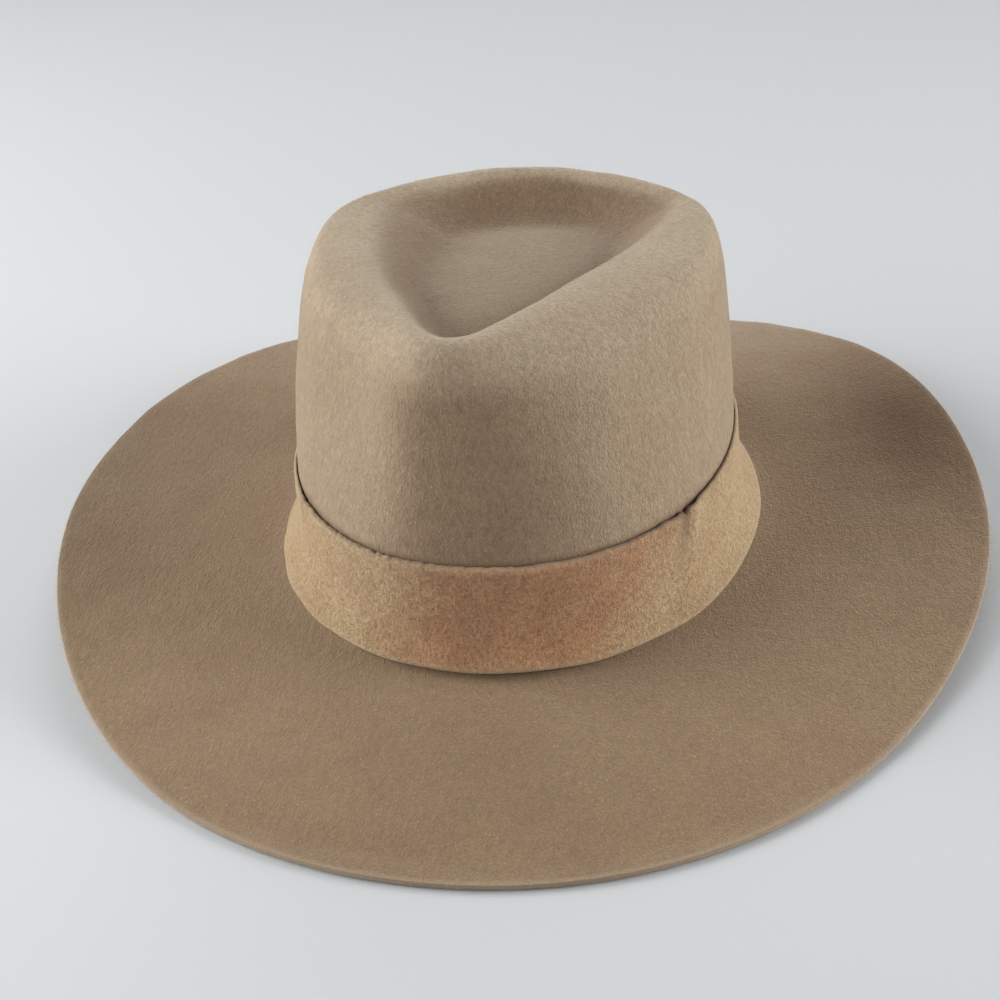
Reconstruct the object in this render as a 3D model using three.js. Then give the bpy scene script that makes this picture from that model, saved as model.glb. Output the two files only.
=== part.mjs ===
import * as THREE from 'three';

// Rancher hat: a wool-felt crown and brim in one piece, with a flared suede band round the foot of
// the crown. Millimetres, +Z up, the wearer's front towards -Y and the wearer's left towards +X.

const HEAD_LENGTH = 204;      // outside of the crown's foot, front to back
const HEAD_WIDTH = 170.4;     // outside of the crown's foot, side to side
const HEAD_SQUARENESS = 2.12; // exponent of the foot oval, 2 being an ellipse
const CROWN_HEIGHT = 122;     // brim root to the back of the crest
const BRIM_WIDTH = 100;       // brim root to the cut edge
const BRIM_ROOT = 13.4;       // top of the brim at its root, above the table
const FELT = 2.4;             // thickness of the felt
const EDGE_ROUND = 0.4;       // bulge of the cut edge
const BAND_TOP = 41;          // top edge of the band above the brim root
const BAND_FOOT = 3.2;        // lower edge of the band above the brim root
const BAND_FLARE = 8.6;       // how far the lower edge stands out from the crown's foot
const FLARE_START = 0.12;     // share of the flare that is even from top to foot
const FLARE_CURVE = 3.8;      // power of the rest of the flare
const SUEDE = 1.3;            // thickness of the band
const CLEARANCE = 0.35;       // air between band and felt
const SEGMENTS = 84;          // divisions round the hat
const FRONT_CROWDING = 0.34;  // how much closer the divisions lie at the front tip

const halfLength = HEAD_LENGTH / 2;
const halfWidth = HEAD_WIDTH / 2;
const rad = Math.PI / 180;

// Crown rings from the middle of the dent, over the crest and down to the brim root. centre, front
// and back are shares of the half length, side, shift and lean of the half width, the heights of
// the crown height. shift moves the whole ring sideways and lean its front alone. tip rounds the
// front point, point and square are the exponents at the front and the back, spread is how early
// the one gives way to the other, and steps is the number of rings modelled up to the next row.
const RING_COLUMNS = ['centre', 'front', 'back', 'side', 'shift', 'lean', 'tip', 'point', 'square',
  'spread', 'zFront', 'zSide', 'zBack', 'steps'];
const SIDE_ROUND = 0.25; // how far the sides of a ring are rounded where its halves meet
const CROWN_RINGS = {
  floorMiddle:  [0.18, 0.22, 0.35, 0.16, 0.05, -0.03, 0.3, 2, 2, 0.9, 0.868, 0.868, 0.868, 1],
  floorEdge:    [0.27, 0.42, 0.43, 0.31, 0.065, -0.07, 0.3, 1.55, 2.8, 0.8, 0.86, 0.863, 0.86, 1],
  wallFoot:     [0.34, 0.525, 0.51, 0.41, 0.07, -0.1, 0.2, 1.2, 3, 0.6, 0.858, 0.863, 0.867, 1],
  wallMiddle:   [0.39, 0.585, 0.58, 0.555, 0.055, -0.125, 0.14, 0.98, 3, 0.35, 0.89, 0.923, 0.945, 1],
  crestInside:  [0.42, 0.645, 0.62, 0.7, 0.01, -0.12, 0.12, 0.94, 3, 0.25, 0.93, 0.956, 0.989, 2],
  crestOutside: [0.37, 0.715, 0.68, 0.82, 0, -0.08, 0.14, 1.1, 2.6, 0.5, 0.934, 0.961, 0.996, 2],
  shoulder:     [0.235, 0.77, 0.755, 0.92, 0, -0.06, 0.25, 1.3, 2.15, 0.9, 0.861, 0.92, 0.918, 2],
  upperSide:    [0.12, 0.845, 0.845, 0.966, 0, -0.03, 0.35, 1.45, 2.12, 0.9, 0.705, 0.754, 0.754, 1],
  middleSide:   [0.04, 0.925, 0.93, 0.99, 0, -0.01, 0.45, 1.75, 2.12, 0.9, 0.516, 0.533, 0.541, 1],
  aboveBand:    [0, 1, 0.998, 1, 0, 0, 0, 2.12, 2.12, 1, 0.336, 0.336, 0.336, 1],
  underBand:    [0, 1.004, 1.004, 1.006, 0, 0, 0, 2.12, 2.12, 1, 0.188, 0.188, 0.188, 1],
  rootCurve:    [0, 1.019, 1.019, 1.025, 0, 0, 0, 2.12, 2.12, 1, 0.066, 0.066, 0.066, 1],
};
const FLOOR_CENTRE = 0.05; // middle of the dent behind the hat's centre, share of the half length

// A thumb pinch either side of the crown's front and the ridge that each leaves beside the front
// facet: angle from the front in degrees, height as a share of the crown height, depth as a share
// of the half width, below zero for a ridge, half angle and half height.
const PINCH_COLUMNS = ['angle', 'height', 'depth', 'halfAngle', 'halfHeight'];
const PINCHES = {
  right:      [-41, 0.75, 0.065, 16, 0.26],
  rightRidge: [-15, 0.70, -0.016, 7, 0.32],
  leftRidge:  [25, 0.66, -0.012, 11, 0.32],
  left:       [56, 0.70, 0.030, 18, 0.30],
};

// Cut edge of the brim at twelve directions from the front round by the wearer's left: rise of the
// edge over the root and reach of the edge, both as shares of the brim width, and lateness, the
// power that says how far out along the brim the rise sets in.
const EDGE_COLUMNS = ['rise', 'lateness', 'reach'];
const EDGE = {
  front:        [-0.125, 1.5, 1.02],
  frontToLeft:  [-0.120, 1.5, 1.01],
  leftToFront:  [-0.065, 1.5, 0.975],
  left:         [0.020, 2.0, 0.98],
  leftToBack:   [0.100, 3.0, 0.955],
  backToLeft:   [0.006, 2.8, 1.00],
  back:         [-0.130, 2.0, 1.02],
  backToRight:  [-0.008, 1.8, 1.01],
  rightToBack:  [0.092, 1.7, 1.02],
  right:        [0.122, 1.5, 0.99],
  rightToFront: [0.072, 1.5, 0.98],
  frontToRight: [-0.090, 1.5, 0.99],
};
const BRIM_SHARES = [0.09, 0.22, 0.38, 0.54, 0.70, 0.84, 0.93, 1];
const ROOT_FILLET = 0.8; // lift left over at the first brim ring

const BAND_RINGS = [0, 0.35, 0.6, 0.8, 0.92, 1]; // rings of the band, as shares of the way down

function directions() {
  // Angles round the hat from the front, crowded towards the front tip.
  const list = [];
  for (let i = 0; i < SEGMENTS; i += 1) {
    const s = (2 * Math.PI * i) / SEGMENTS;
    list.push(s - FRONT_CROWDING * Math.sin(s));
  }
  return list;
}

function ovalPoint(t, o) {
  // Superellipse round (0, centre) whose exponent n runs from point at the front to square behind:
  // r = (along / length^n + across^n)^(-1/n), across = (sin^2 t + tip^2 cos^2 t)^(1/2) / side, and
  // along = |cos t|^n, rounded where it passes zero. The front is stretched by cos^2 t so that the
  // rounded tip still reaches its length.
  const c = Math.cos(t);
  const s = Math.sin(t);
  const n = o.square + (o.point - o.square) * Math.pow((1 + c) / 2, o.spread);
  const length = c > 0 ? o.front + o.centre : o.back - o.centre;
  const tip = c > 0 ? o.tip * c : 0;
  const across = Math.sqrt(s * s + tip * tip) / o.side;
  const blunt = Math.pow(1 + Math.pow((length * o.tip) / o.side, o.point), 1 / o.point);
  const stretch = c > 0 ? 1 + (blunt - 1) * c * c : 1;
  const rounded = (v) => Math.pow(v * v + SIDE_ROUND * SIDE_ROUND, n / 2) - Math.pow(SIDE_ROUND, n);
  const along = rounded(c) / rounded(1);
  const r = stretch * Math.pow(along / Math.pow(length, n) + Math.pow(across, n), -1 / n);
  return [r * s + o.shift + o.lean * Math.max(0, c) * Math.max(0, c), o.centre - r * c];
}

function ringHeight(t, front, side, back) {
  const mean = ((front + back) / 2 + side) / 2;
  return mean + ((front - back) / 2) * Math.cos(t) + ((front + back) / 2 - mean) * Math.cos(2 * t);
}

function sized(values) {
  // One crown row with its shares turned into millimetres.
  const o = {};
  RING_COLUMNS.forEach((name, i) => {
    o[name] = values[i];
  });
  ['centre', 'front', 'back'].forEach((name) => {
    o[name] *= halfLength;
  });
  ['side', 'shift', 'lean'].forEach((name) => {
    o[name] *= halfWidth;
  });
  ['zFront', 'zSide', 'zBack'].forEach((name) => {
    o[name] *= CROWN_HEIGHT;
  });
  return o;
}

function pinched(x, y, z) {
  // Pushes a point of the crown wall towards the axis under each pinch, as a bell in angle and
  // height that fades towards the axis.
  const radius = Math.hypot(x, y);
  const angle = Math.atan2(x, -y);
  let push = 0;
  Object.values(PINCHES).forEach((values) => {
    const p = {};
    PINCH_COLUMNS.forEach((name, i) => {
      p[name] = values[i];
    });
    const turn = Math.atan2(Math.sin(angle - p.angle * rad), Math.cos(angle - p.angle * rad));
    const up = (z - p.height * CROWN_HEIGHT) / (p.halfHeight * CROWN_HEIGHT);
    push += p.depth * halfWidth * Math.exp(-((turn / (p.halfAngle * rad)) ** 2) - up * up);
  });
  const keep = 1 - (push * Math.pow(radius / halfWidth, 1.5)) / radius;
  return [x * keep, y * keep, z];
}

const FOOT = {
  centre: 0, front: halfLength, back: halfLength, side: halfWidth, shift: 0, lean: 0, tip: 0,
  point: HEAD_SQUARENESS, square: HEAD_SQUARENESS, spread: 1,
};

function footPoint(t, outward) {
  // The crown's foot oval moved outward along its own normal.
  const a = ovalPoint(t - 1e-4, FOOT);
  const b = ovalPoint(t + 1e-4, FOOT);
  const p = ovalPoint(t, FOOT);
  const dx = b[0] - a[0];
  const dy = b[1] - a[1];
  const length = Math.hypot(dx, dy);
  return [p[0] + (dy / length) * outward, p[1] - (dx / length) * outward];
}

function around(values, t) {
  // Smooth closed wave through evenly spaced values.
  const n = values.length;
  let sum = 0;
  for (let k = 0; k <= n / 2; k += 1) {
    const weight = k === 0 || 2 * k === n ? 1 / n : 2 / n;
    values.forEach((v, i) => {
      sum += weight * v * Math.cos(k * (t - (2 * Math.PI * i) / n));
    });
  }
  return sum;
}

function controlRings(angles) {
  const rings = [];
  Object.values(CROWN_RINGS).forEach((values) => {
    const o = sized(values);
    rings.push(angles.map((t) => {
      const [x, y] = ovalPoint(t, o);
      const z = ringHeight(t, o.zFront, o.zSide, o.zBack);
      const onWall = o.front > halfLength / 2 && z > 0.35 * CROWN_HEIGHT;
      return onWall ? pinched(x, y, z) : [x, y, z];
    }));
  });
  const [rise, late, reach] = EDGE_COLUMNS.map((name, k) => Object.values(EDGE).map((row) => row[k]));
  BRIM_SHARES.forEach((share, i) => {
    rings.push(angles.map((t) => {
      const [x, y] = footPoint(t, BRIM_WIDTH * share * around(reach, t));
      const fillet = i === 0 ? ROOT_FILLET : 0;
      return [x, y, BRIM_WIDTH * around(rise, t) * Math.pow(share, around(late, t)) + fillet];
    }));
  });
  const centre = angles.map(() => [0, FLOOR_CENTRE * halfLength, rings[0][0][2]]);
  const half = SEGMENTS / 2;
  const across = rings[0].map((p, i) => rings[0][(i + half) % SEGMENTS]);
  const last = rings[rings.length - 1];
  const before = rings[rings.length - 2];
  const beyond = last.map((p, i) => p.map((v, k) => 2 * v - before[i][k]));
  return [across, centre, ...rings, beyond];
}

function smoothRings(control, steps) {
  // Cubic B-spline from ring to ring, its control rings first sharpened by a sixth of the second
  // difference so that the surface passes close to the rings of the table.
  const q = control.map((ring, i) => {
    if (i === 0 || i === control.length - 1) {
      return ring;
    }
    return ring.map((p, j) => p.map((v, k) => {
      const bend = control[i - 1][j][k] - 2 * v + control[i + 1][j][k];
      return v - bend / 6;
    }));
  });
  const out = [];
  const place = (i, u) => {
    const b = [(1 - u) ** 3, 3 * u ** 3 - 6 * u * u + 4, -3 * u ** 3 + 3 * u * u + 3 * u + 1, u ** 3];
    out.push(q[i].map((p, j) => p.map((v, k) => {
      const sum = b[0] * q[i - 1][j][k] + b[1] * v + b[2] * q[i + 1][j][k];
      return (i + 2 < q.length ? sum + b[3] * q[i + 2][j][k] : sum) / 6;
    })));
  };
  for (let i = 1; i < control.length - 2; i += 1) {
    for (let s = 0; s < steps[i - 1]; s += 1) {
      place(i, s / steps[i - 1]);
    }
  }
  place(control.length - 2, 0);
  return out;
}

function cross(a, b) {
  return [a[1] * b[2] - a[2] * b[1], a[2] * b[0] - a[0] * b[2], a[0] * b[1] - a[1] * b[0]];
}

function lining(rings) {
  // Inner face of the felt: every point moved in along the surface normal by the felt's thickness.
  const n = rings[0].length;
  return rings.map((ring, i) => ring.map((p, j) => {
    if (i === 0) {
      return [p[0], p[1], p[2] - FELT];
    }
    const before = rings[i - 1];
    const after = rings[Math.min(i + 1, rings.length - 1)];
    const down = after[j].map((v, k) => v - before[j][k]);
    const round = ring[(j + 1) % n].map((v, k) => v - ring[(j + n - 1) % n][k]);
    const normal = cross(down, round);
    const size = Math.hypot(...normal);
    return p.map((v, k) => v - (FELT * normal[k]) / size);
  }));
}

function mesh(name, positions, faces, material) {
  const geometry = new THREE.BufferGeometry();
  geometry.setAttribute('position', new THREE.Float32BufferAttribute(positions.flat(), 3));
  geometry.setIndex(faces.flat());
  geometry.computeVertexNormals();
  const object = new THREE.Mesh(geometry, material);
  object.name = name;
  return object;
}

function stitch(faces, a, b, n) {
  // Two rows of triangles between ring starts a and b.
  for (let j = 0; j < n; j += 1) {
    const k = (j + 1) % n;
    faces.push([a + j, b + j, b + k], [a + j, b + k, a + k]);
  }
}

function feltSkin() {
  // Outer face of the felt, moved so that the brim's outline is centred on the origin.
  const angles = directions();
  const steps = [1, ...Object.values(CROWN_RINGS).map((row) => row[13]), ...BRIM_SHARES.map(() => 1)];
  const rings = smoothRings(controlRings(angles), steps);
  const edge = rings[rings.length - 1];
  const shift = [0, 1].map((k) => {
    const values = edge.map((p) => p[k]);
    return -(Math.max(...values) + Math.min(...values)) / 2;
  });
  const skin = rings.map((ring) => ring.map((p) => (
    [p[0] + shift[0], p[1] + shift[1], p[2] + BRIM_ROOT])));
  return { skin, shift };
}

function feltBody(material) {
  const outside = feltSkin().skin;
  const inside = lining(outside);
  const top = outside.map((ring) => ring.map((p) => [p[0], p[1], Math.max(p[2], FELT)]));
  const under = inside.map((ring) => ring.map((p) => [p[0], p[1], Math.max(p[2], 0)]));
  const edgeTop = top[top.length - 1];
  const edgeUnder = under[under.length - 1];
  const edge = edgeTop.map((p, j) => {
    const middle = p.map((v, k) => (v + edgeUnder[j][k]) / 2);
    const radius = Math.hypot(middle[0], middle[1]);
    const grow = 1 + EDGE_ROUND / radius;
    return [middle[0] * grow, middle[1] * grow, middle[2]];
  });
  const rings = [...top.slice(1), edge, ...under.slice(1).reverse()];
  const positions = [top[0][0], ...rings.flat(), under[0][0]];
  const faces = [];
  const last = positions.length - 1;
  for (let j = 0; j < SEGMENTS; j += 1) {
    const k = (j + 1) % SEGMENTS;
    faces.push([0, 1 + j, 1 + k]);
    faces.push([last, last - SEGMENTS + k, last - SEGMENTS + j]);
  }
  for (let i = 0; i + 1 < rings.length; i += 1) {
    stitch(faces, 1 + i * SEGMENTS, 1 + (i + 1) * SEGMENTS, SEGMENTS);
  }
  return mesh('felt_body', positions, faces, material);
}

function suedeBand(material) {
  // From the top edge down, outward = flare * (start * down + (1 - start) * down^curve).
  const angles = directions();
  const { shift } = feltSkin();
  const inner = BAND_RINGS.map((down) => (
    [CLEARANCE + BAND_FLARE * (FLARE_START * down + (1 - FLARE_START) * Math.pow(down, FLARE_CURVE)),
      BAND_TOP + down * (BAND_FOOT - BAND_TOP)]));
  const outer = inner.map(([out, up], i) => {
    const a = inner[Math.max(i - 1, 0)];
    const b = inner[Math.min(i + 1, inner.length - 1)];
    const length = Math.hypot(b[0] - a[0], b[1] - a[1]);
    return [out - (SUEDE * (b[1] - a[1])) / length, up + (SUEDE * (b[0] - a[0])) / length];
  });
  const section = [...inner.slice().reverse(), ...outer];
  const positions = [];
  section.forEach(([out, up]) => {
    angles.forEach((t) => {
      const [x, y] = footPoint(t, out);
      positions.push([x + shift[0], y + shift[1], up + BRIM_ROOT]);
    });
  });
  const faces = [];
  section.forEach((row, i) => {
    stitch(faces, i * SEGMENTS, ((i + 1) % section.length) * SEGMENTS, SEGMENTS);
  });
  return mesh('suede_band', positions, faces, material);
}

const felt = new THREE.MeshStandardMaterial({ color: 0x8f7860, roughness: 0.95, metalness: 0 });
const suede = new THREE.MeshStandardMaterial({ color: 0xa8784f, roughness: 0.9, metalness: 0 });

const group = new THREE.Group();
group.name = 'rancher_hat';
group.add(feltBody(felt), suedeBand(suede));

export default group;
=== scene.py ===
"""Rancher hat: a blocked wool-felt crown and brim in one piece, with a flared suede band.

Metres, +Z up, the wearer's front towards -Y and the wearer's left towards +X, resting on z = 0.
"""

import bpy
import numpy as np
from mathutils import Matrix, Vector


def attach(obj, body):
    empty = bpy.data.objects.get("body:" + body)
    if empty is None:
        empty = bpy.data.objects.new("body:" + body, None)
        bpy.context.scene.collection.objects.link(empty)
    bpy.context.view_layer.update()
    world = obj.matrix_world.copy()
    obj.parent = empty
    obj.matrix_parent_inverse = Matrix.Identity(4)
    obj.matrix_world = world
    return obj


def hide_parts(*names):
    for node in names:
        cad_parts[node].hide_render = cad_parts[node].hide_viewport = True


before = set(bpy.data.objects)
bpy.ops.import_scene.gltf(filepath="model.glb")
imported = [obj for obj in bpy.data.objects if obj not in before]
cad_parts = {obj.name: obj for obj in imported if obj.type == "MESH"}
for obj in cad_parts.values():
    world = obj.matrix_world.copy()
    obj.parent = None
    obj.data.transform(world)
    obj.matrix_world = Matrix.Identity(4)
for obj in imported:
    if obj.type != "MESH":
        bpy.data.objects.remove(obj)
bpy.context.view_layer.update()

# Camera. It stands a little above the hat and towards the wearer's left, at the photograph's
# angle, close enough to look down into the dent, and leans by a few degrees.

CAMERA_AT = Vector((0.1256, -0.6459, 0.4257))
LOOKS_AT = Vector((-0.0073, -0.0068, 0.0238))
CAMERA_LEAN = np.radians(4.87)
LENS_MM = 68.8

lens = bpy.data.cameras.new("camera")
lens.lens = LENS_MM
lens.sensor_width = 36
camera = bpy.data.objects.new("camera", lens)
bpy.context.collection.objects.link(camera)
view_back = (CAMERA_AT - LOOKS_AT).normalized()
view_right = Vector((0, 0, 1)).cross(view_back).normalized()
turned = Matrix((view_right, view_back.cross(view_right), view_back)).transposed().to_4x4()
camera.matrix_world = Matrix.Translation(CAMERA_AT) @ turned @ Matrix.Rotation(-CAMERA_LEAN, 4, "Z")
bpy.context.scene.camera = camera
bpy.context.scene.view_settings.view_transform = "Standard"

# Felt body. The crown and the brim are one cone of wool felt, blocked over a wooden form: a
# teardrop dent in the top, a thumb pinch either side of the front, and a wide brim that droops
# front and back, lifts at the sides and ends in a raw cut edge. The felt is 2.4 mm thick.

HALF_LENGTH = 0.102
HALF_WIDTH = 0.0852
FOOT_EXPONENT = 2.12
CROWN_HEIGHT = 0.122
BRIM_WIDTH = 0.100
BRIM_ROOT = 0.0134
FELT = 0.0024
ROUND = 400
FRONT_CROWDING = 0.34

# Rings from the middle of the dent, over the crest and down to the brim root, as shares of the
# sizes above. shift moves a whole ring sideways and lean its front alone, tip rounds the front
# point, point and square are exponents, spread is how early the one gives way to the other, and
# rings is how many are drawn up to the next row.
CROWN_RINGS = np.array([
    # centre front  back   side   shift   lean   tip   point square spread zfront zside  zback  rings
    ( 0.18,  0.22,  0.35,  0.16,  0.05, -0.03,   0.3,     2,     2,   0.9, 0.868, 0.868, 0.868, 4),
    ( 0.27,  0.42,  0.43,  0.31, 0.065, -0.07,   0.3,  1.55,   2.8,   0.8,  0.86, 0.863,  0.86, 5),
    ( 0.34, 0.525,  0.51,  0.41,  0.07,  -0.1,   0.2,   1.2,     3,   0.6, 0.858, 0.863, 0.867, 6),
    ( 0.39, 0.585,  0.58, 0.555, 0.055, -0.125,  0.14,  0.98,     3,  0.35,  0.89, 0.923, 0.945, 7),
    ( 0.42, 0.645,  0.62,   0.7,  0.01, -0.12,  0.12,  0.94,     3,  0.25,  0.93, 0.956, 0.989, 8),
    ( 0.37, 0.715,  0.68,  0.82,     0, -0.08,  0.14,   1.1,   2.6,   0.5, 0.934, 0.961, 0.996, 8),
    (0.235,  0.77, 0.755,  0.92,     0, -0.06,  0.25,   1.3,  2.15,   0.9, 0.861,  0.92, 0.918, 8),
    ( 0.12, 0.845, 0.845, 0.966,     0, -0.03,  0.35,  1.45,  2.12,   0.9, 0.705, 0.754, 0.754, 6),
    ( 0.04, 0.925,  0.93,  0.99,     0, -0.01,  0.45,  1.75,  2.12,   0.9, 0.516, 0.533, 0.541, 6),
    (    0,     1, 0.998,     1,     0,     0,     0,  2.12,  2.12,     1, 0.336, 0.336, 0.336, 12),
    (    0, 1.004, 1.004, 1.006,     0,     0,     0,  2.12,  2.12,     1, 0.188, 0.188, 0.188, 4),
    (    0, 1.019, 1.019, 1.025,     0,     0,     0,  2.12,  2.12,     1, 0.066, 0.066, 0.066, 4),
])
SIDE_ROUND = 0.25
FLOOR_CENTRE = 0.05 * HALF_LENGTH
# A thumb pinch either side of the front, and the ridge that each leaves beside the front facet.
PINCHES = (
    # angle, height, depth, half angle, half height
    (-41, 0.75, 0.065, 16, 0.26),
    (-15, 0.70, -0.016, 7, 0.32),
    (25, 0.66, -0.012, 11, 0.32),
    (56, 0.70, 0.030, 18, 0.30),
)
# The cut edge at twelve directions from the front round by the wearer's left: rise and reach as
# shares of the brim width, and lateness, how far out along the brim the rise sets in.
EDGE_RISE, EDGE_LATENESS, EDGE_REACH = np.array([
    (-0.125, 1.5, 1.02), (-0.120, 1.5, 1.01), (-0.065, 1.5, 0.975), (0.020, 2.0, 0.98),
    (0.100, 3.0, 0.955), (0.006, 2.8, 1.00), (-0.130, 2.0, 1.02), (-0.008, 1.8, 1.01),
    (0.092, 1.7, 1.02), (0.122, 1.5, 0.99), (0.072, 1.5, 0.98), (-0.090, 1.5, 0.99),
]).T
BRIM_SHARES = (0.09, 0.22, 0.38, 0.54, 0.70, 0.84, 0.93, 1.0)
BRIM_RINGS = (3, 3, 4, 4, 4, 4, 3, 1)
ROOT_FILLET = 0.0008


def turns(count):
    """Angles round the hat from the front, t = s - k sin s, which crowds them at the front tip."""
    s = np.arange(count) * (2 * np.pi / count)
    return s - FRONT_CROWDING * np.sin(s)


def oval(t, centre, front, back, side, shift, lean, tip, point, square, spread):
    """Superellipse round (0, centre): r = (along / length^n + across^n)^(-1/n).

    n runs from point at the front to square at the back. along is |cos t|^n, rounded where it
    passes zero. across is the root of sin^2 t + tip^2 cos^2 t over the side, which rounds the
    tip, and the front is stretched by cos^2 t so that the rounded tip still reaches its
    length. Shift and lean cos^2 t are added to x.
    """
    c, s = np.cos(t), np.sin(t)
    ahead = np.maximum(c, 0)
    n = square + (point - square) * ((1 + c) / 2) ** spread
    length = np.where(c > 0, front + centre, back - centre)
    across = np.sqrt(s * s + (tip * ahead) ** 2) / side
    blunt = (1 + ((front + centre) * tip / side) ** point) ** (1 / point)
    low, high = SIDE_ROUND ** n, (1 + SIDE_ROUND ** 2) ** (n / 2)
    along = ((c * c + SIDE_ROUND ** 2) ** (n / 2) - low) / (high - low)
    r = (1 + (blunt - 1) * ahead ** 2) * (along / length ** n + across ** n) ** (-1 / n)
    return r * s + shift + lean * ahead ** 2, centre - r * c


def foot(t, outward):
    """The crown's foot oval moved outward along its own normal, (dy, -dx) of its tangent."""
    sizes = (0, HALF_LENGTH, HALF_LENGTH, HALF_WIDTH, 0, 0, 0, FOOT_EXPONENT, FOOT_EXPONENT, 1)
    x, y = oval(t, *sizes)
    x0, y0 = oval(t - 1e-4, *sizes)
    x1, y1 = oval(t + 1e-4, *sizes)
    dx, dy = x1 - x0, y1 - y0
    size = np.hypot(dx, dy)
    return x + dy / size * outward, y - dx / size * outward


def around(values, t):
    """Closed wave through evenly spaced values: the sum of cos k(t - t_i) over half their number."""
    count = len(values)
    at = np.arange(count) * (2 * np.pi / count)
    total = np.zeros_like(t)
    for k in range(count // 2 + 1):
        weight = (1 if k == 0 or 2 * k == count else 2) / count
        total += weight * (values[:, None] * np.cos(k * (t[None] - at[:, None]))).sum(0)
    return total


def pinched(x, y, z):
    """Moves the wall towards the axis under each pinch: a bell in angle times a bell in height,

    fading towards the axis as (radius / half width)^1.5.
    """
    push = 0
    for angle, height, depth, half_angle, half_height in PINCHES:
        turn = np.angle(np.exp(1j * (np.arctan2(x, -y) - np.radians(angle))))
        up = (z - height * CROWN_HEIGHT) / (half_height * CROWN_HEIGHT)
        push = push + depth * HALF_WIDTH * np.exp(-(turn / np.radians(half_angle)) ** 2 - up * up)
    radius = np.hypot(x, y)
    keep = 1 - push * (radius / HALF_WIDTH) ** 1.5 / radius
    return x * keep, y * keep


def felt_rings(t):
    """Table rings at the angles t: height = mean + a cos t + b cos 2t through front, side, back."""
    scale = np.array([HALF_LENGTH] * 3 + [HALF_WIDTH] * 3 + [1] * 4 + [CROWN_HEIGHT] * 3)
    rings = []
    for row in CROWN_RINGS[:, :13] * scale:
        front, side, back = row[10:]
        x, y = oval(t, *row[:10])
        mean = ((front + back) / 2 + side) / 2
        z = mean + (front - back) / 2 * np.cos(t) + ((front + back) / 2 - mean) * np.cos(2 * t)
        if row[1] > HALF_LENGTH / 2 and side > 0.35 * CROWN_HEIGHT:
            x, y = pinched(x, y, z)
        rings.append((x, y, z))
    rise, late, reach = (around(v, t) for v in (EDGE_RISE, EDGE_LATENESS, EDGE_REACH))
    for share in BRIM_SHARES:
        x, y = foot(t, BRIM_WIDTH * share * reach)
        z = BRIM_WIDTH * rise * share ** late + (ROOT_FILLET if share < 0.1 else 0)
        rings.append((x, y, z))
    rings = np.moveaxis(np.array(rings), 1, 2)
    middle = np.zeros_like(rings[0])
    middle[:, 1], middle[:, 2] = FLOOR_CENTRE, rings[0, 0, 2]
    across = np.roll(rings[0], len(t) // 2, axis=0)
    return np.concatenate([[across], [middle], rings, [2 * rings[-1] - rings[-2]]])


def smooth(rings, steps):
    """Cubic B-spline over the rings, each first moved back by a sixth of its second difference."""
    q = rings.copy()
    q[1:-1] -= (rings[:-2] - 2 * rings[1:-1] + rings[2:]) / 6
    span = np.concatenate([np.full(n, i + 1) for i, n in enumerate(steps)])
    u = np.concatenate([np.arange(n) / n for n in steps])
    u, span = np.append(u, 1.0), np.append(span, len(steps))
    weights = np.stack([(1 - u) ** 3, 3 * u ** 3 - 6 * u ** 2 + 4,
                        -3 * u ** 3 + 3 * u ** 2 + 3 * u + 1, u ** 3]) / 6
    last = len(rings) - 1
    return sum(weights[k][:, None, None] * q[np.minimum(span - 1 + k, last)] for k in range(4))


def grid_normals(p):
    """Cross product of the slope down the rings and the slope round them, pointing outwards."""
    down = np.gradient(p, axis=0)
    turn = np.roll(p, -1, axis=1) - np.roll(p, 1, axis=1)
    n = np.cross(down, turn)
    n /= np.linalg.norm(n, axis=-1, keepdims=True) + 1e-12
    n[0] = (0, 0, 1)
    return n


def uneven(p, size, seed):
    """Soft random relief of about -1 to 1: 30 sine waves through space, added and divided by 30^0.5.

    Each runs its own way and is 0.7 to 1.4 times size long.
    """
    chance = np.random.default_rng(seed)
    way = chance.normal(size=(3, 30))
    way *= 2 * np.pi / (size * chance.uniform(0.7, 1.4, 30) * np.linalg.norm(way, axis=0))
    return np.sin(p @ way + chance.uniform(0, 2 * np.pi, 30)).sum(-1) / 30 ** 0.5


def ramp(x, start, end):
    """Smooth step: 0 before start, 1 after end, u^2 (3 - 2 u) between."""
    u = np.clip((x - start) / (end - start), 0, 1)
    return u * u * (3 - 2 * u)


def shell(name, rings, marks, closed_loop=False):
    """A mesh of quads between closed rings; open ends close in a point, a loop meets itself.

    Each mark is a value for every point, kept on the mesh for the material.
    """
    count, around_it = rings.shape[:2]
    i = np.arange(count if closed_loop else count - 1)[:, None] * around_it
    j = np.arange(around_it)[None]
    k = (j + 1) % around_it
    nxt = (i + around_it) % (count * around_it)
    faces = np.stack([i + j, nxt + j, nxt + k, i + k], -1).reshape(-1, 4).tolist()
    points = rings.reshape(-1, 3)
    if not closed_loop:
        top, end = len(points), len(points) + 1
        points = np.concatenate([points, rings[:1].mean(1), rings[-1:].mean(1)])
        after = k[0]
        low = (count - 1) * around_it
        faces += np.stack([np.full(around_it, top), j[0], after], -1).tolist()
        faces += np.stack([np.full(around_it, end), low + after, low + j[0]], -1).tolist()
    mesh = bpy.data.meshes.new(name)
    mesh.from_pydata(points.tolist(), [], faces)
    mesh.shade_smooth()
    for mark, values in marks.items():
        values = np.broadcast_to(values, (count, around_it)).ravel()
        if not closed_loop:
            values = np.append(values, (values[0], values[-1]))
        mesh.attributes.new(mark, "FLOAT", "POINT").data.foreach_set("value", values.astype(np.float32))
    piece = bpy.data.objects.new(name, mesh)
    bpy.context.collection.objects.link(piece)
    return piece


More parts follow.
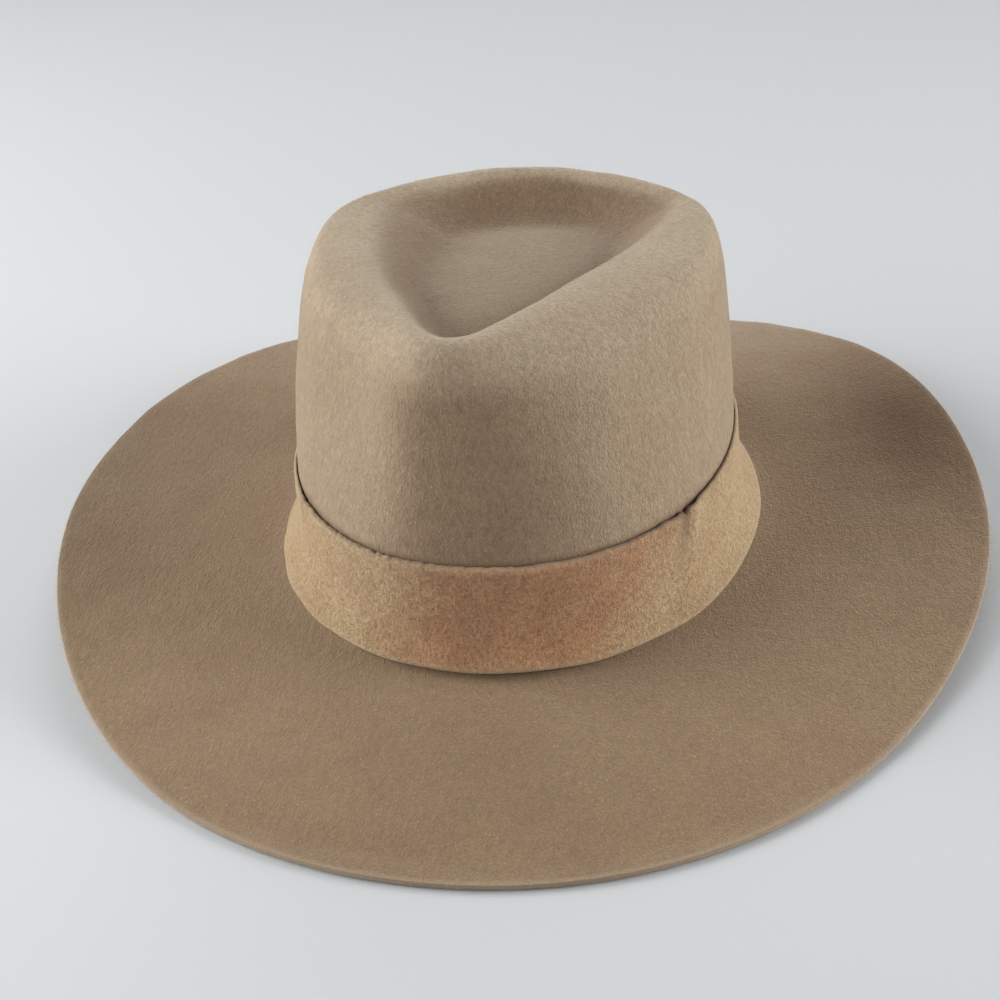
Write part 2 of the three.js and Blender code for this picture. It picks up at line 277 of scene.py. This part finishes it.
def add(tree, kind, inputs=None, **settings):
    """Adds a node to a tree: each input is linked if it is another node's output, or else set."""
    node = tree.nodes.new("ShaderNode" + kind)
    for key, value in settings.items():
        setattr(node, key, value)
    for key, value in (inputs or {}).items():
        if isinstance(value, bpy.types.NodeSocket):
            tree.links.new(value, node.inputs[key])
        else:
            node.inputs[key].default_value = value
    return node


def blend(tree, share, first, second):
    """Colour that goes from first to second as share goes from 0 to 1."""
    return add(tree, "Mix", {0: share, 6: first, 7: second}, data_type="RGBA").outputs[2]


def napped_surface():
    """Node group for a short matted nap, shared by the felt and the suede.

    Two colours drift into each other over the mottle size. The nap is a noise at Object
    coordinates times Grain, so that it can run one way. It lightens and darkens the colour by
    contrast, leaves pale flecks and gives the height of the relief.
    """
    group = bpy.data.node_groups.new("napped_surface", "ShaderNodeTree")
    for name, kind in (("Ground", "Color"), ("Drift", "Color"), ("Fleck", "Color"),
                       ("Grain", "Vector"), ("Mottle", "Float"), ("Nap", "Float"), ("Contrast", "Float")):
        group.interface.new_socket(name, in_out="INPUT", socket_type="NodeSocket" + kind)
    for name, kind in (("Colour", "Color"), ("Height", "Float")):
        group.interface.new_socket(name, in_out="OUTPUT", socket_type="NodeSocket" + kind)
    given = group.nodes.new("NodeGroupInput").outputs
    where = add(group, "TexCoord").outputs["Object"]
    broad = add(group, "TexNoise", {"Vector": where, "Scale": given["Mottle"], "Detail": 3.0,
                                    "Roughness": 0.6}).outputs["Fac"]
    drift = add(group, "MapRange", {"Value": broad, "From Min": 0.36, "From Max": 0.64},
                interpolation_type="SMOOTHSTEP").outputs["Result"]
    along = add(group, "VectorMath", {0: where, 1: given["Grain"]}, operation="MULTIPLY").outputs[0]
    nap = add(group, "TexNoise", {"Vector": along, "Scale": given["Nap"], "Detail": 4.0,
                                  "Roughness": 0.76}).outputs["Fac"]
    twice = add(group, "Math", {0: given["Nap"], 1: 3.3}, operation="MULTIPLY").outputs[0]
    grit = add(group, "TexNoise", {"Vector": along, "Scale": twice, "Detail": 2.0,
                                   "Roughness": 0.6}).outputs["Fac"]
    height = add(group, "MapRange", {"Value": nap, "From Min": 0.25, "From Max": 0.75,
                                     "To Min": -1.0}).outputs["Result"]
    fine = add(group, "MapRange", {"Value": grit, "From Min": 0.2, "From Max": 0.8,
                                   "To Min": -0.9, "To Max": 0.9}).outputs["Result"]
    relief = add(group, "Math", {0: height, 1: fine}).outputs[0]
    tone = add(group, "Math", {0: relief, 1: given["Contrast"], 2: 1.0},
               operation="MULTIPLY_ADD").outputs[0]
    tint = blend(group, drift, given["Ground"], given["Drift"])
    shaded = add(group, "VectorMath", {0: tint, "Scale": tone}, operation="SCALE").outputs[0]
    flecks = add(group, "MapRange", {"Value": grit, "From Min": 0.63, "From Max": 0.74,
                                     "To Max": 0.45}).outputs["Result"]
    given_out = group.nodes.new("NodeGroupOutput").inputs
    group.links.new(blend(group, flecks, shaded, given["Fleck"]), given_out["Colour"])
    group.links.new(relief, given_out["Height"])
    return group


def napped_material(name, sheen, roughness, relief):
    """A Principled material with the napped surface in it and a bump of the given depth."""
    material = bpy.data.materials.new(name)
    material.use_nodes = True
    tree = material.node_tree
    surface = tree.nodes["Principled BSDF"]
    surface.inputs["Roughness"].default_value = roughness
    surface.inputs["Specular IOR Level"].default_value = 0.2
    surface.inputs["Sheen Weight"].default_value = sheen
    surface.inputs["Sheen Roughness"].default_value = 0.5
    surface.inputs["Sheen Tint"].default_value = (1.0, 0.93, 0.80, 1)
    cover = tree.nodes.new("ShaderNodeGroup")
    cover.node_tree = nap_group
    bump = add(tree, "Bump", {"Height": cover.outputs["Height"], "Strength": 1.0, "Distance": relief})
    tree.links.new(bump.outputs["Normal"], surface.inputs["Normal"])
    return material, tree, cover, surface


t = turns(ROUND)
steps = [3] + CROWN_RINGS[:, 13].astype(int).tolist() + list(BRIM_RINGS[:-1])
skin = smooth(felt_rings(t), steps)
centring = np.append(-(skin[-1, :, :2].max(0) + skin[-1, :, :2].min(0)) / 2, BRIM_ROOT)
skin += centring
skin = np.concatenate([skin[:-1], skin[-1:] * 0.95 + skin[-2:-1] * 0.05, skin[-1:]])

# The blocked felt is never quite even. It is also drawn in by the band's top edge, in a groove,
# and lies even where the band covers it.
BAND_TOP = 0.041
GROOVE_DEPTH = 0.0002
GROOVE_WIDTH = 0.0006
EDGE_BULGE = 0.0004
RAW_EDGE = 0.0006
ring = np.arange(len(skin))[:, None]
brim_start = sum(steps[:-len(BRIM_RINGS) + 1]) - 1
crown = ramp(-ring, -brim_start, 6 - brim_start) + 0 * skin[..., 0]
above_band = skin[..., 2] - BRIM_ROOT - BAND_TOP
free = np.where(crown > 0.5, ramp(above_band, 0.0, 0.004), ramp(ring, brim_start + 6, brim_start + 10))
# The groove draws the felt in and also, in the material, darkens its colour there as painted shade.
groove_and_shade = crown * np.exp(-((above_band - 0.0001) / GROOVE_WIDTH) ** 2)
normal = grid_normals(skin)
relief = 0.00018 * uneven(skin, 0.026, 1) + 0.00006 * uneven(skin, 0.008, 2)
skin += normal * (free * relief - GROOVE_DEPTH * groove_and_shade)[..., None]
lining = skin - FELT * grid_normals(skin)
skin[..., 2] = np.maximum(skin[..., 2], FELT)
lining[..., 2] = np.maximum(lining[..., 2], 0)
middle = (skin[-1] + lining[-1]) / 2
out = middle * (1, 1, 0)
out /= np.linalg.norm(out, axis=-1, keepdims=True)
edge = np.stack([middle + (skin[-1] - middle) * np.cos(a) + out * EDGE_BULGE * np.sin(a)
                 for a in np.radians((35, 65, 90, 115, 145))])

from_edge = np.linalg.norm(skin - skin[-1], axis=-1)
raw = np.exp(-(from_edge / RAW_EDGE) ** 2)
angle = np.degrees(np.arctan2(np.sin(t), np.cos(t)))
# Painted shade: the felt colour is darkened over the front pinch facet and, from the crest ring in, over the
# dent.
pinch_and_dent_shade = ramp(angle, -24, -12) * ramp(-angle, -33, -3) * ramp(-skin[..., 2], -0.120, -0.106)
crest_ring = sum(steps[:5])
pinch_and_dent_shade = np.maximum(pinch_and_dent_shade, ramp(-ring, -crest_ring - 1, 5 - crest_ring))
# Painted light: the up-facing top of the crest is made paler.
crest_top_light = ramp(grid_normals(skin)[..., 2], 0.15, 0.75) * ramp(skin[..., 2], 0.098, 0.118) * (1 - pinch_and_dent_shade)
# Painted shade: the brim's upturned curl at the back is darkened.
curl_shade = np.exp(-((angle - 119) / 19) ** 2 - ((from_edge - 0.018) / 0.021) ** 2) * (1 - crown)
felt_body = shell("felt_crown_and_brim", np.concatenate([skin[1:], edge, lining[:0:-1]]), {
    "crown": np.concatenate([crown[1:], 0 * edge[..., 0], crown[:0:-1]]),
    "pinch_and_dent_shade": np.concatenate([pinch_and_dent_shade[1:], 0 * edge[..., 0], pinch_and_dent_shade[:0:-1]]),
    "crest_top_light": np.concatenate([crest_top_light[1:], 0 * edge[..., 0], 0 * crest_top_light[:0:-1]]),
    "curl_shade": np.concatenate([curl_shade[1:], 0 * edge[..., 0], 0 * curl_shade[:0:-1]]),
    "raw_edge": np.concatenate([raw[1:], 1 + 0 * edge[..., 0], raw[:0:-1]]),
    "groove_and_shade": np.concatenate([groove_and_shade[1:], 0 * edge[..., 0], 0 * groove_and_shade[:0:-1]])})

# Wool felt: a warm grey tan, with a redder drift in it and a short nap. The nap stands up and down
# the crown, where it was brushed up and is paler; painted shade darkens it over the pinch at the
# front and in the dent. On the brim it lies from front to back. Painted light pales the up-facing
# crest, the raw edge is paler too, and painted shade darkens the brim's curl at the back.
nap_group = napped_surface()
felt, tree, cover, surface = napped_material("wool_felt", 0.42, 0.95, 0.00016)
on_crown = add(tree, "Attribute", attribute_name="crown").outputs["Fac"]
at_edge = add(tree, "Attribute", attribute_name="raw_edge").outputs["Fac"]
in_groove_shade = add(tree, "Attribute", attribute_name="groove_and_shade").outputs["Fac"]
grain = add(tree, "Mix", {0: on_crown, 4: (1.0, 0.5, 1.0), 5: (1.0, 1.0, 0.5)}, data_type="VECTOR")
tree.links.new(grain.outputs[1], cover.inputs["Grain"])
# Painted shade: the crown colour turns darker and redder over the front pinch and in the dent.
in_pinch_and_dent_shade = add(tree, "Attribute", attribute_name="pinch_and_dent_shade").outputs["Fac"]
crown_tone_with_shade = blend(tree, in_pinch_and_dent_shade, (0.325, 0.244, 0.160, 1), (0.250, 0.173, 0.106, 1))
tree.links.new(blend(tree, on_crown, (0.250, 0.165, 0.090, 1), crown_tone_with_shade), cover.inputs["Ground"])
crown_tone_with_shade = blend(tree, in_pinch_and_dent_shade, (0.308, 0.226, 0.146, 1), (0.240, 0.162, 0.100, 1))
tree.links.new(blend(tree, on_crown, (0.238, 0.152, 0.085, 1), crown_tone_with_shade), cover.inputs["Drift"])
cover.inputs["Fleck"].default_value = (0.46, 0.37, 0.27, 1)
cover.inputs["Mottle"].default_value = 26.0
cover.inputs["Nap"].default_value = 500.0
tree.links.new(add(tree, "Math", {0: on_crown, 1: 0.05, 2: 0.20}, operation="MULTIPLY_ADD").outputs[0],
               cover.inputs["Contrast"])
in_curl_shade = add(tree, "Attribute", attribute_name="curl_shade").outputs["Fac"]
in_crest_top_light = add(tree, "Attribute", attribute_name="crest_top_light").outputs["Fac"]
# Painted shade: the colour is darkened on the brim's curl at the back.
napped = add(tree, "Mix", {0: in_curl_shade, 6: cover.outputs["Colour"], 7: (0.66, 0.54, 0.51, 1)},
             data_type="RGBA", blend_type="MULTIPLY").outputs[2]
# Painted light: the colour is lightened on the up-facing crest top.
pale = add(tree, "Mix", {0: in_crest_top_light, 6: napped, 7: (1.20, 1.24, 1.28, 1)},
           data_type="RGBA", blend_type="MULTIPLY").outputs[2]
cut = blend(tree, add(tree, "Math", {0: at_edge, 1: 0.6}, operation="MULTIPLY").outputs[0],
            pale, (0.38, 0.29, 0.20, 1))
# Painted shade in the groove under the band's top edge.
shade = blend(tree, in_groove_shade, cut, (0.19, 0.105, 0.055, 1))
tree.links.new(shade, surface.inputs["Base Color"])
felt_body.data.materials.append(felt)
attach(felt_body, "root")
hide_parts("felt_body")

# Loose nap. Single wool fibres stand out of the felt: many at the raw edge of the brim, fewer on
# the crown and the brim, and three long stray hairs lie on the brim.

FIBRE = 0.000028
HAIR = 0.00008
HAIR_POINTS = 14


def fibres(name, paths, thickness):
    """Three-sided tubes along paths (fibre, step, 3), their radius r (1 - 0.8 u^2) at the share u."""
    count, steps_along = paths.shape[:2]
    ahead = np.gradient(paths, axis=1)
    ahead /= np.linalg.norm(ahead, axis=-1, keepdims=True)
    side = np.cross(ahead, np.where(np.abs(ahead[..., 2:]) > 0.8, (1.0, 0, 0), (0, 0, 1.0)))
    side /= np.linalg.norm(side, axis=-1, keepdims=True)
    up = np.cross(ahead, side)
    radius = thickness * (1 - 0.8 * np.linspace(0, 1, steps_along) ** 2)[None, :, None, None]
    turn = np.radians((0, 120, 240))[:, None]
    points = paths[:, :, None] + radius * (np.cos(turn) * side[:, :, None] + np.sin(turn) * up[:, :, None])
    start = (np.arange(count) * steps_along * 3)[:, None, None] + np.arange(steps_along - 1)[:, None] * 3
    j, k = np.arange(3), (np.arange(3) + 1) % 3
    quads = np.stack([start + j, start + k, start + 3 + k, start + 3 + j], -1).reshape(-1, 4)
    base = np.arange(count)[:, None] * steps_along * 3
    caps = np.concatenate([base + (2, 1, 0), base + 3 * (steps_along - 1) + (0, 1, 2)])
    mesh = bpy.data.meshes.new(name)
    mesh.from_pydata(points.reshape(-1, 3).tolist(), [], quads.tolist() + caps.tolist())
    mesh.shade_smooth()
    piece = bpy.data.objects.new(name, mesh)
    bpy.context.collection.objects.link(piece)
    return piece


def sprouts(root, outward, length, seed):
    """Short curved paths: root + s outward + s^2 of a random sideways bend, s from -0.15 to 1."""
    chance = np.random.default_rng(seed)
    s = np.linspace(-0.15, 1, 3)[None, :, None]
    length = length[:, None, None]
    bend = chance.normal(size=(len(root), 1, 3)) * 0.35
    return root[:, None] + length * (s * outward[:, None] + s * s * bend)


chance = np.random.default_rng(5)
EDGE_FIBRES, CROWN_FIBRES, BRIM_FIBRES = 3800, 2600, 1400
pick = chance.integers(0, ROUND, EDGE_FIBRES)
share = chance.uniform(0, 1, (EDGE_FIBRES, 1))
along = middle[pick] * (1 - share) + middle[(pick + 1) % ROUND] * share
along += (skin[-1, pick] - middle[pick]) * chance.uniform(-0.9, 0.9, (EDGE_FIBRES, 1))
outward = out[pick] + 0.45 * chance.normal(size=(EDGE_FIBRES, 3))
paths = [sprouts(along, outward, 0.0006 * chance.gamma(3.0, 0.5, EDGE_FIBRES).clip(0.5, 3.2), 6)]
normal = grid_normals(skin)
last_crown = int((above_band.max(1) > 0.003).sum())
for amount, rows, stand in ((CROWN_FIBRES, (8, last_crown), 0.8),
                            (BRIM_FIBRES, (brim_start + 12, len(skin) - 1), 0.3)):
    i, j = chance.integers(*rows, amount), chance.integers(0, ROUND, amount)
    flow = chance.normal(size=(amount, 3))
    flow -= (flow * normal[i, j]).sum(-1, keepdims=True) * normal[i, j]
    outward = stand * normal[i, j] + 0.5 * flow
    paths.append(sprouts(skin[i, j], outward, 0.0007 * chance.gamma(3.0, 0.5, amount).clip(0.5, 3), 7))
paths = np.concatenate(paths)
paths[..., 2] = np.maximum(paths[..., 2], 0.0001)
loose_nap = fibres("loose_nap", paths, FIBRE)

# Each stray hair: where its middle lies, its heading, its length and how much it curls.
hairs = []
for x, y, heading, length, curl in ((0.1735, 0.003, 20, 0.013, 1.6), (0.001, -0.1145, -50, 0.011, 0.9),
                                    (-0.105, -0.105, 160, 0.009, -1.4)):
    s = np.linspace(-1, 1, HAIR_POINTS)
    turn = np.radians(heading) + curl * s
    step = length / (HAIR_POINTS - 1)
    px, py = x + np.cumsum(np.cos(turn)) * step, y + np.cumsum(np.sin(turn)) * step
    near = ((skin[brim_start + 4:, None, :, 0] - px[:, None]) ** 2
            + (skin[brim_start + 4:, None, :, 1] - py[:, None]) ** 2)
    near = near.transpose(1, 0, 2).reshape(HAIR_POINTS, -1).argmin(1)
    pz = skin[brim_start + 4:].reshape(-1, 3)[near, 2].mean() + 0.0003 + 0.0005 * (1 - s ** 2)
    hairs.append(np.stack([px, py, pz], -1))
stray_hairs = fibres("stray_hairs", np.array(hairs), HAIR)

wool = bpy.data.materials.new("wool_fibre")
wool.use_nodes = True
surface = wool.node_tree.nodes["Principled BSDF"]
tree = wool.node_tree
spread = add(tree, "TexNoise", {"Vector": add(tree, "TexCoord").outputs["Object"], "Scale": 300.0})
tint = blend(tree, spread.outputs["Fac"], (0.30, 0.22, 0.15, 1), (0.62, 0.52, 0.40, 1))
tree.links.new(tint, surface.inputs["Base Color"])
surface.inputs["Roughness"].default_value = 0.7
for piece in (loose_nap, stray_hairs):
    piece.data.materials.append(wool)
    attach(piece, "root")

# Suede band. One strip of suede is drawn round the foot of the crown, tight along its top edge and
# standing out over the brim at its lower edge, where it casts a fine shadow. It puckers at a nick
# near the wearer's left temple, where its end is caught down, and at a tack on the other side.

BAND_FOOT = 0.0032
BAND_FLARE = 0.0086
SUEDE = 0.0013
CLEARANCE = 0.00012
FLARE_START = 0.12
FLARE_CURVE = 3.8
BAND_ROUND = 720
NICK_DEPTH = 0.0013
EDGE_ROUNDING = 0.0003

t = turns(BAND_ROUND)[None]
down = np.linspace(0, 1, 37)[:, None]
angle = np.degrees(np.arctan2(np.sin(t), np.cos(t)))


def fold(at, lean, width, reach):
    """A fold across the band: a bell in angle about at + lean x down, times a bell in depth."""
    return np.exp(-((angle - at - lean * down) / width) ** 2 - (down / reach) ** 2)


# From the top edge down, outward = flare x (start x down + (1 - start) x down^curve), plus the
# folds and a soft wave that grows towards the lower edge.
ring = np.stack([*foot(t[0], 0.0), 0 * t[0]], -1)
wave = uneven(ring[None] + down[..., None] * (0, 0, 0.04), 0.045, 11)
nick = np.exp(-((angle - 49.5) / 0.8) ** 2)
lift = (0.0015 * fold(52.6, -5.0, 1.9, 0.55) + 0.0006 * fold(46.0, -3.0, 2.2, 0.45)
        + 0.0005 * fold(-48.9, 2.0, 1.0, 0.30) + 0.0004 * fold(-52.6, -1.0, 1.2, 0.5))
outward = CLEARANCE + BAND_FLARE * (FLARE_START * down + (1 - FLARE_START) * down ** FLARE_CURVE)
outward = outward + lift + 0.0003 * np.abs(wave) * down
ragged = 0.00016 * uneven(ring, 0.0035, 12) + 0.00012 * uneven(ring, 0.012, 13)
top = BAND_TOP + ragged - NICK_DEPTH * nick
low = BAND_FOOT + 0.00035 * uneven(ring, 0.035, 14)
height = low + (top - low) * (1 - down)
inner = np.stack([np.stack([*foot(t[0], o), h], -1) for o, h in zip(outward, height)]) + centring
outer = inner + SUEDE * grid_normals(inner)
bevel = 0.5 * (outer[:1] + inner[:1]) + (0, 0, EDGE_ROUNDING)
hem = 0.5 * (outer[-1:] + inner[-1:]) - (0, 0, EDGE_ROUNDING)

# The suede is rubbed to a redder brown over the wearer's brow, in a patch that leans to one side.
rust = ramp(angle, -22 - 8 * down, 0 - 8 * down) * ramp(-angle, -58 + 22 * down, -34 + 22 * down)
rust = np.clip(rust * (0.92 + 0.13 * uneven(ring[None] + down[..., None] * (0, 0, 0.04), 0.012, 15)), 0, 1)
cut = np.exp(-(down / 0.02) ** 2) + np.exp(-((1 - down) / 0.025) ** 2) + 0 * angle
# Painted shade in the hollows of the folds at the nick and the tack.
fold_shade = fold(49.0, -5.0, 1.9, 0.42) + 0.8 * fold(-50.5, 0.5, 0.7, 0.22)
ends = 0 * bevel[..., 0]
suede_band = shell("suede_band_strip", np.concatenate([outer, hem, inner[::-1], bevel]), {
    "rust": np.concatenate([rust, ends, rust[::-1], ends]),
    "cut_edge": np.concatenate([cut, ends + 1, cut[::-1], ends + 1]),
    "fold_shade": np.concatenate([fold_shade, ends, 0 * fold_shade, ends])}, closed_loop=True)

suede, tree, cover, surface = napped_material("suede", 0.30, 0.92, 0.00030)
rubbed = add(tree, "Attribute", attribute_name="rust").outputs["Fac"]
at_edge = add(tree, "Attribute", attribute_name="cut_edge").outputs["Fac"]
in_fold_shade = add(tree, "Attribute", attribute_name="fold_shade").outputs["Fac"]
tree.links.new(blend(tree, rubbed, (0.51, 0.360, 0.198, 1), (0.465, 0.240, 0.116, 1)), cover.inputs["Ground"])
tree.links.new(blend(tree, rubbed, (0.47, 0.312, 0.165, 1), (0.40, 0.208, 0.108, 1)), cover.inputs["Drift"])
cover.inputs["Fleck"].default_value = (0.60, 0.47, 0.31, 1)
cover.inputs["Grain"].default_value = (1.0, 1.0, 0.8)
cover.inputs["Mottle"].default_value = 60.0
cover.inputs["Nap"].default_value = 720.0
cover.inputs["Contrast"].default_value = 0.52
pale = blend(tree, add(tree, "Math", {0: at_edge, 1: 0.4}, operation="MULTIPLY").outputs[0],
             cover.outputs["Colour"], (0.62, 0.48, 0.31, 1))
# Painted shade: the suede is darkened in the fold hollows.
shade = blend(tree, add(tree, "Math", {0: in_fold_shade, 1: 0.68}, operation="MULTIPLY").outputs[0],
              pale, (0.13, 0.07, 0.035, 1))
tree.links.new(shade, surface.inputs["Base Color"])
suede_band.data.materials.append(suede)
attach(suede_band, "root")
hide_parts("suede_band")

# Floor and light. A plain pale floor, with large soft lamps: three on the wearer's right, a strong
# low one on the left, a weak one behind, and a pale surrounding.

FLOOR_HALF = 1.9
FLOOR_BELOW = 0.0004
SURROUND_LIGHT = 0.08
SURROUND_SEEN = 0.56
LAMPS_FACE = Vector((0, 0, 0.08))

corners = ((-1, -1), (1, -1), (1, 1), (-1, 1))
mesh = bpy.data.meshes.new("floor")
mesh.from_pydata([(x * FLOOR_HALF, y * FLOOR_HALF, -FLOOR_BELOW) for x, y in corners],
                 [], [(0, 1, 2, 3)])
floor = bpy.data.objects.new("floor", mesh)
bpy.context.collection.objects.link(floor)
pale = bpy.data.materials.new("pale_floor")
pale.use_nodes = True
surface = pale.node_tree.nodes["Principled BSDF"]
surface.inputs["Base Color"].default_value = (0.60, 0.615, 0.628, 1)
surface.inputs["Roughness"].default_value = 0.85
mesh.materials.append(pale)


def soft_lamp(name, at, size, watts):
    """A square lamp that faces the middle of the crown."""
    light = bpy.data.lights.new(name, "AREA")
    light.size, light.energy = size, watts
    lamp = bpy.data.objects.new(name, light)
    bpy.context.collection.objects.link(lamp)
    lamp.location = at
    lamp.rotation_euler = (LAMPS_FACE - Vector(at)).to_track_quat("-Z", "Y").to_euler()


soft_lamp("lamp_left_low", (-1.4, 0.0, 0.35), 1.0, 14)
soft_lamp("lamp_left_high", (-1.2, -0.1, 0.9), 1.0, 13)
soft_lamp("lamp_left_front", (-1.1, -0.9, 0.6), 1.0, 9)
soft_lamp("lamp_right_low", (1.4, 0.0, 0.35), 1.0, 29)
soft_lamp("lamp_behind", (0.0, 1.2, 1.2), 1.0, 8)
world = bpy.data.worlds.new("surround")
world.use_nodes = True
tree = world.node_tree
surround = tree.nodes["Background"]
surround.inputs["Color"].default_value = (0.92, 0.95, 1.0, 1)
# The surrounding is seen paler than it shines, so that the floor ends in a pale backdrop.
seen = add(tree, "Math", {0: add(tree, "LightPath").outputs["Is Camera Ray"],
                          1: SURROUND_SEEN, 2: SURROUND_LIGHT}, operation="MULTIPLY_ADD")
tree.links.new(seen.outputs[0], surround.inputs["Strength"])
bpy.context.scene.world = world
